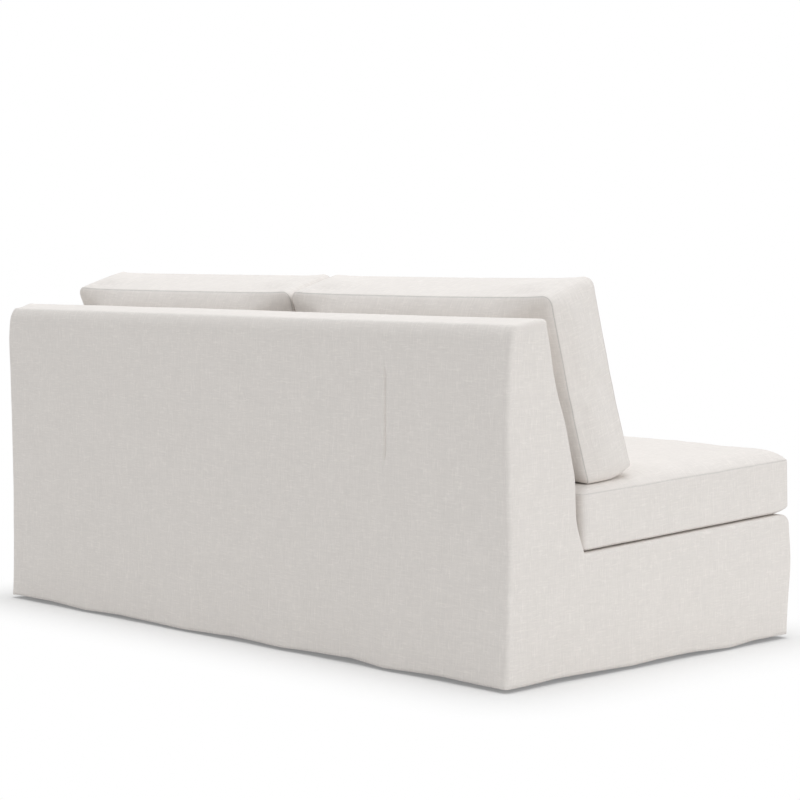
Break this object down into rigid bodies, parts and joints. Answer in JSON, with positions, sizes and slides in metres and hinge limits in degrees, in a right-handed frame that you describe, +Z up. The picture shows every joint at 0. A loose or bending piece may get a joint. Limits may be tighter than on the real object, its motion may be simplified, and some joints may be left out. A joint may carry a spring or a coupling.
{
  "type": "armless slipcovered loveseat",
  "caption": "Armless loveseat in a loose off-white linen cover to the floor, with a boxed bench seat cushion and loose boxed back cushions.",
  "frame": {"origin": "on the floor under the middle of the loveseat's width and depth", "axes": "+X to the sitter's left along the width, +Y from the front to the outside back, +Z up"},
  "size_m": [1.83, 0.98, 0.8722],
  "materials": {
    "linen": "matte",
    "zip_tape": "matte",
    "zip_metal": "satin",
    "fibre_fill": "matte",
    "foam": "matte",
    "wadding": "matte",
    "hardboard": "matte",
    "felt": "matte",
    "dust_sheet": "matte",
    "webbing": "matte",
    "glide_plastic": "matte",
    "spring_steel": "satin",
    "clip_metal": "satin",
    "fastener_steel": "satin",
    "leg_wood": "satin",
    "frame_wood": "matte"
  },
  "bodies": {
    "frame": {"back_webbing": "webbing", "centre_back_post": "frame_wood", "centre_stretcher": "frame_wood", "corner_blocks": "frame_wood", "corner_screws": "fastener_steel", "cross_wires": "spring_steel", "deck_felt": "felt", "deck_foam": "foam", "dust_cover": "dust_sheet", "frame_dowels": "frame_wood", "front_centre_leg": "leg_wood", "front_left_leg": "leg_wood", "front_pad": "wadding", "front_rail": "frame_wood", "front_right_leg": "leg_wood", "front_spring_clips": "clip_metal", "inside_back_foam": "foam", "left_back_post": "frame_wood", "left_side_board": "hardboard", "left_side_pad": "wadding", "left_side_rail": "frame_wood", "leg_bolts": "fastener_steel", "leg_glides": "glide_plastic", "lower_back_rail": "frame_wood", "outside_back_board": "hardboard", "outside_back_pad": "wadding", "rear_centre_leg": "leg_wood", "rear_left_leg": "leg_wood", "rear_rail": "frame_wood", "rear_right_leg": "leg_wood", "rear_seat_rail": "frame_wood", "rear_spring_clips": "clip_metal", "right_back_post": "frame_wood", "right_side_board": "hardboard", "right_side_pad": "wadding", "right_side_rail": "frame_wood", "seat_springs": "spring_steel", "top_back_foam": "foam", "top_back_rail": "frame_wood"},
    "slipcover": {"cover_deck": "linen", "cover_front": "linen", "cover_inside_back": "linen", "cover_left_side": "linen", "cover_outside_back": "linen", "cover_right_side": "linen", "cover_top": "linen"},
    "seat_cushion": {"seat_cushion_cover": "linen", "seat_cushion_foam": "foam", "seat_cushion_zip": "zip_tape"},
    "seat_cushion_zip_slider": {"seat_cushion_zip_slider": "zip_metal"},
    "left_back_cushion": {"left_back_cushion_cover": "linen", "left_back_cushion_fill": "fibre_fill", "left_back_cushion_zip": "zip_tape"},
    "left_back_cushion_zip_slider": {"left_back_cushion_zip_slider": "zip_metal"},
    "right_back_cushion": {"right_back_cushion_cover": "linen", "right_back_cushion_fill": "fibre_fill", "right_back_cushion_zip": "zip_tape"},
    "right_back_cushion_zip_slider": {"right_back_cushion_zip_slider": "zip_metal"}
  },
  "joints": [
    {"name": "slipcover_lift", "type": "slide", "parent": "frame", "child": "slipcover", "axis": [0, 0, 1], "range_m": [0, 0.78]},
    {"name": "seat_cushion_slide", "type": "slide", "parent": "slipcover", "child": "seat_cushion", "axis": [0, -0.9993, 0.0366], "range_m": [0, 0.78]},
    {"name": "left_back_cushion_lift", "type": "slide", "parent": "slipcover", "child": "left_back_cushion", "axis": [0, 0, 1], "range_m": [0, 0.45]},
    {"name": "right_back_cushion_lift", "type": "slide", "parent": "slipcover", "child": "right_back_cushion", "axis": [0, 0, 1], "range_m": [0, 0.45]},
    {"name": "seat_cushion_zip", "type": "slide", "parent": "seat_cushion", "child": "seat_cushion_zip_slider", "axis": [-1, 0, 0], "range_m": [0, 1.45]},
    {"name": "left_back_cushion_zip", "type": "slide", "parent": "left_back_cushion", "child": "left_back_cushion_zip_slider", "axis": [-1, 0, 0], "range_m": [0, 0.5]},
    {"name": "right_back_cushion_zip", "type": "slide", "parent": "right_back_cushion", "child": "right_back_cushion_zip_slider", "axis": [-1, 0, 0], "range_m": [0, 0.5]}
  ]
}
